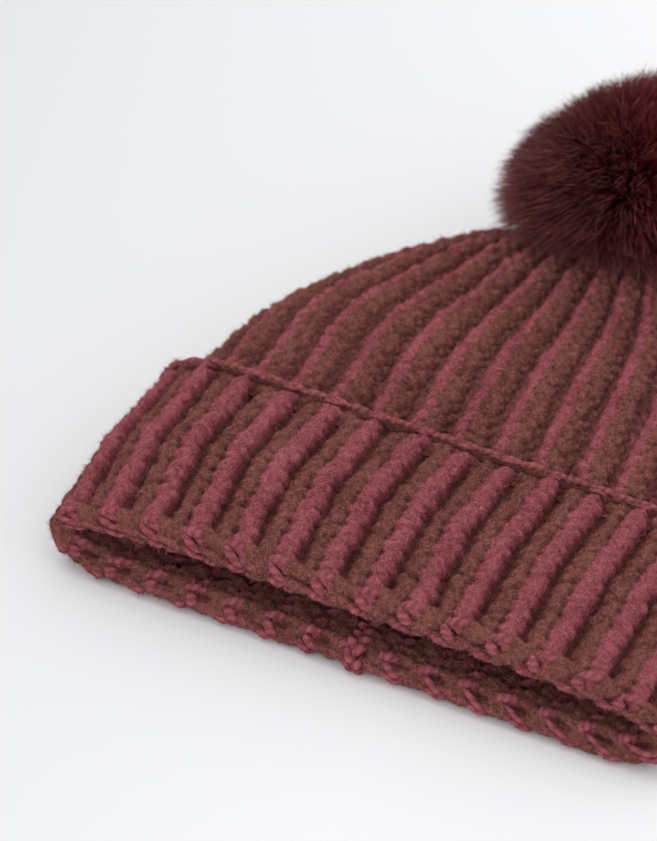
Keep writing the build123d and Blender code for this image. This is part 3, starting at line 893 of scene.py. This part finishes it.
axisUp = np.array(pomAxis[:])
pomShort = unit(np.array(pom["short"]))
pomSide = unit(np.cross(pomShort, [0.0, 0, 1]))
pomFront = np.cross(pomShort, pomSide)
pomAxes = np.stack([pomSide, pomFront, pomShort])
pomRadii = np.array([pom["radius"], pom["radius"], pom["halfHeight"]])
pomCentre = gatherPoint + axisUp * pom["centre"]
bagCentre = gatherPoint + axisUp * pom["bagCentre"]
longFibre = fibrePattern(pom["segments"])
# how high the crown stands along the pom's axis, at each distance from the axis
crownPlace = crownRoots["points"] / mm - gatherPoint
crownRise = crownPlace @ axisUp
crownOut = np.linalg.norm(crownPlace - crownRise[:, None] * axisUp, axis=1)
ringStep, ringEnd = pom["rings"]
crownReach = np.arange(ringStep, ringEnd, ringStep)
crownHigh = [crownRise[np.abs(crownOut - reach) < ringStep].max() for reach in crownReach]
print("crown below the pom", np.round(crownHigh, 1))


def furPiece(name, count, share, width, clumping, material):
    clumps = unit(chance.normal(0, 1, (pom["clumps"], 3)))
    clumpLength = chance.normal(1.0, pom["uneven"], len(clumps))
    clumpLean = chance.normal(0, pom["lean"], clumps.shape)
    pick = chance.integers(0, len(clumps), count)
    own = unit(clumps[pick] + chance.normal(0, pom["spread"], (count, 3)))
    length = share * (clumpLength[pick] + chance.normal(0, pom["uneven"], count))
    # the fur underneath hangs down to the crown
    world = own @ pomAxes
    allAround, further = pom["hang"]
    hang = allAround + further * np.clip(world @ np.array(pom["hangs"]), 0, 1)
    guard = share == 1.0
    hang = hang * (1.0 if guard else pom["shortHang"])
    length = length * (1 + hang * np.clip(pom["hangFrom"] - world @ axisUp, 0, 1))
    reach = pomRadii * length[:, None]
    ownTip = pomCentre + (own * reach) @ pomAxes
    clumpTip = pomCentre + (unit(clumps + clumpLean)[pick] * reach) @ pomAxes
    crest = np.clip(world @ np.array(pom["stands"]), 0, 1)
    # the clumps show most where the fur stands up
    hold = clumping * (0.5 + 0.5 * crest)
    tip = ownTip * (1 - hold[:, None]) + clumpTip * hold[:, None]
    tuft = chance.uniform(*pom["tuft"], count) + (clumpLength[pick] - 1) * pom["clumpTuft"]
    tip = tip + (tip - pomCentre) * (crest * tuft)[:, None]
    place = tip[:, 1] + hat["originLength"]
    wide = np.interp(place, pom["restLength"], pom["restWidth"])
    rest = np.interp(place, pom["restLength"], pom["restHeight"])
    rest = rest * np.sqrt(np.clip(1 - (tip[:, 0] / wide) ** 4, 0.05, 1))
    rest = rest + chance.uniform(0, pom["restUneven"], count)
    tip[:, 2] = np.maximum(tip[:, 2] - pom["sag"] * (1 - crest), rest)
    if not guard:
        # the shorter fur clears the crown however far the pom is turned
        fromGather = tip - gatherPoint
        rise = fromGather @ axisUp
        out = np.linalg.norm(fromGather - rise[:, None] * axisUp, axis=1)
        clear = np.interp(out, crownReach, crownHigh) + pom["clear"]
        tip = tip + axisUp * np.maximum(0, clear - rise)[:, None]
    root = bagCentre + world * pom["bagRadius"]
    t = np.linspace(0, 1, pom["segments"] + 1)[None, :, None]
    swirl = chance.normal(0, pom["swirl"], (count, 1, 3))
    swirl = swirl + clumpLean[pick][:, None] * pom["clumpSwirl"]
    lines = root[:, None] * (1 - t) + tip[:, None] * t + swirl * np.sin(math.pi * t)
    lines[:, :, 2] += np.sin(math.pi * t[..., 0]) * pom["lift"]
    lines = lines * mm
    forward = unit(lines[:, -1] - lines[:, 0])
    sideways = unit(np.cross(forward, chance.normal(0, 1, (count, 3))))
    widths = width * chance.uniform(*pom["widths"], count) * mm
    mesh = tiledMesh(name, longFibre, ribbonPoints(longFibre, lines, widths, sideways))
    each = len(longFibre["points"])
    addAttribute(mesh, "tone", np.repeat(chance.random(count), each))
    addAttribute(mesh, "streak", np.repeat(chance.random(len(clumps))[pick], each))
    addAttribute(mesh, "tipward", np.tile(longFibre["points"][:, 1], count))
    red = world @ np.array(pom["reddens"]) + chance.normal(0, pom["redUneven"], count)
    red = np.clip(red, 0, 1)
    addAttribute(mesh, "red", np.repeat(red, each))
    return addPiece(name, mesh, material, "pom")


def furFinish(name, stops, streaks):
    shader = Shader(name)
    along = shader.attribute("tipward")
    tone = shader.attribute("tone")
    streak = shader.attribute("streak")
    shift = (along + (tone - 0.5) * 0.3 + (streak - 0.5) * 0.25).clamped()
    base = shader.node("ValToRGB", {"stops": stops}, {0: shift})
    base = shader.mix(((streak - 0.6) * 4.0).clamped() * 0.35, base, streaks, "SCREEN")
    glow = shader.node("ValToRGB", {"stops": redStops}, {0: shift})
    base = shader.mix((shader.attribute("red") * 1.6).clamped() * 0.8, base, glow)
    return shader.surface(baseColor=base, roughness=0.55, specular=0.25)


# colours from root to tip
guardStops = [
    (0.0, paint(30, 11, 13)),
    (0.45, paint(62, 22, 26)),
    (0.75, paint(108, 46, 50)),
    (0.95, paint(138, 84, 82)),
]
underStops = [(0.0, paint(22, 8, 10)), (0.6, paint(50, 16, 20)), (0.95, paint(92, 32, 38))]
redStops = [
    (0.0, paint(30, 4, 8)),
    (0.45, paint(84, 8, 18)),
    (0.75, paint(134, 22, 34)),
    (0.95, paint(158, 66, 70)),
]
furGuardFinish = furFinish("furGuard", guardStops, paint(92, 8, 20))
furUnderFinish = furFinish("furUnder", underStops, paint(40, 4, 10))
furCount = 15000
# share of the pom's size, width of a strand, and how closely a clump holds together
furPiece("pomGuardFur", furCount, 1.0, 0.20, 0.6, furGuardFinish)
furPiece("pomMiddleFur", furCount, 0.95, 0.22, 0.5, furGuardFinish)
furUnder = furPiece("pomUnderFur", furCount, 0.86, 0.30, 0.35, furUnderFinish)
print("fur laid", furCount * 3)

# hardware and hidden parts


def plainFinish(name, light, dark, scale):
    shader = Shader(name)
    grain = shader.noise(scale, 4.0, 0.6)
    base = shader.mix(grain, dark, light)
    normal = shader.bump(grain, 0.5, 0.0006)
    return shader.surface(baseColor=base, roughness=0.95, normal=normal)


def metalFinish(name, light, dark, roughness):
    shader = Shader(name)
    cloud = shader.noise(300.0, 3.0, 0.5)
    base = shader.mix(cloud, dark, light)
    return shader.surface(baseColor=base, metallic=1.0, roughness=cloud * 0.12 + roughness)


def threadFinish(name, light, dark):
    shader = Shader(name)
    values = {"Vector": shader.place(), "Scale": 900.0, "Distortion": 1.5}
    twist = shader.node("TexWave", {"bands_direction": "DIAGONAL"}, values)
    base = shader.mix(twist, dark, light)
    normal = shader.bump(twist, 0.6, 0.0002)
    return shader.surface(baseColor=base, roughness=0.7, normal=normal)


brass = metalFinish("brass", (0.76, 0.56, 0.27, 1), (0.62, 0.43, 0.19, 1), 0.24)
steel = metalFinish("steel", (0.66, 0.66, 0.67, 1), (0.5, 0.5, 0.52, 1), 0.22)
feltFinish = plainFinish("felt", paint(84, 40, 44), paint(52, 24, 27), 700.0)
thread = threadFinish("thread", paint(96, 44, 48), paint(52, 22, 26))
furBacking = plainFinish("furBacking", paint(40, 14, 18), paint(16, 6, 8), 900.0)
filling = plainFinish("filling", paint(224, 220, 212), paint(186, 180, 170), 240.0)
nodeFinish = {
    "stud_socket": brass,
    "stud_post": brass,
    "socket_spring": steel,
    "socket_stitches": thread,
    "post_stitches": thread,
    "backing_disc": feltFinish,
    "pom_base_disc": feltFinish,
    "pom_skin": furBacking,
    "pom_filling": filling,
    "pom_drawstring": thread,
    "gathering_yarn": thread,
}
for nodeName, material in nodeFinish.items():
    mesh = nodes[nodeName].data
    mesh.materials.clear()
    mesh.materials.append(material)

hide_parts("turned_up_cuff")
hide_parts("knitted_body")
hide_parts("cast_on_edge")
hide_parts("back_seam")
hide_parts("pom_fur")

# floor, light and camera

studio = {
    "ambient": 0.92,
    "ambientTint": (0.97, 0.98, 1, 1),
    "key": 0.48,
    "keyAngle": 35,
    "keyDirection": (0.5, -0.3, -1.0),
    "floorSize": 6,
    # painted light and shade: the floor gets lighter towards the right and the back, as the light
    # falls off across it
    "floorDark": (0.74, 0.745, 0.75, 1),
    "floorLight": (0.94, 0.94, 0.94, 1),
    "floorSweep": (3.04, 0.63, 1.05),
}
bm = bmesh.new()
bmesh.ops.create_grid(bm, x_segments=1, y_segments=1, size=studio["floorSize"])
floorMesh = bpy.data.meshes.new("floor")
bm.to_mesh(floorMesh)
bm.free()
floor = bpy.data.objects.new("floor", floorMesh)
bpy.context.scene.collection.objects.link(floor)
floorShader = Shader("floor")
floorSplit = floorShader.node("SeparateXYZ", {}, {0: floorShader.place()}).socket.node
floorSide, floorBack = (Wire(floorShader, floorSplit.outputs[k]) for k in (0, 1))
acrossFloor, backFloor, middleTone = studio["floorSweep"]
# painted shade: the floor's colour darkens towards the left and the front
paintedFalloff = (floorSide * acrossFloor + floorBack * backFloor + middleTone).clamped()
floorTone = floorShader.mix(paintedFalloff, studio["floorDark"], studio["floorLight"])
floorMesh.materials.append(floorShader.surface(baseColor=floorTone, roughness=0.9, specular=0.0))
world = bpy.data.worlds.new("studio")
bpy.context.scene.world = world
world.use_nodes = True
sky = world.node_tree.nodes["Background"]
sky.inputs["Color"].default_value = studio["ambientTint"]
sky.inputs["Strength"].default_value = studio["ambient"]

keyData = bpy.data.lights.new("key", "SUN")
keyData.energy = studio["key"]
keyData.angle = math.radians(studio["keyAngle"])
keyLamp = bpy.data.objects.new("key", keyData)
bpy.context.scene.collection.objects.link(keyLamp)
keyLamp.rotation_euler = Vector(studio["keyDirection"]).to_track_quat("-Z", "Y").to_euler()

cameraPlan = {
    "azimuth": 26.63,
    "elevation": 42.84,
    "distance": 1.9924,
    "target": (0, -0.049452, 0.020),
    "lens": 315.5,
    "sensor": 36,
    "shift": (-0.2067, 0.0813),
    # the lens is focused on the cuff, and the pom lies beyond it
    "focus": (0, -0.114, 0.020),
    "stop": 14.0,
}
azimuth, elevation = (math.radians(cameraPlan[name]) for name in ("azimuth", "elevation"))
away = Vector((
    math.sin(azimuth) * math.cos(elevation),
    -math.cos(azimuth) * math.cos(elevation),
    math.sin(elevation),
))
cameraData = bpy.data.cameras.new("camera")
camera = bpy.data.objects.new("camera", cameraData)
bpy.context.scene.collection.objects.link(camera)
camera.location = Vector(cameraPlan["target"]) + away * cameraPlan["distance"]
camera.rotation_euler = (-away).to_track_quat("-Z", "Y").to_euler()
cameraData.sensor_fit = "HORIZONTAL"
cameraData.sensor_width = cameraPlan["sensor"]
cameraData.lens = cameraPlan["lens"]
cameraData.shift_x, cameraData.shift_y = cameraPlan["shift"]
cameraData.dof.use_dof = True
focusPoint = bpy.data.objects.new("focusPoint", None)
focusPoint.location = cameraPlan["focus"]
bpy.context.scene.collection.objects.link(focusPoint)
cameraData.dof.focus_object = focusPoint
cameraData.dof.aperture_fstop = cameraPlan["stop"]
cameraData.clip_end = 50
bpy.context.scene.camera = camera
bpy.context.scene.view_settings.view_transform = "Standard"

print("done")
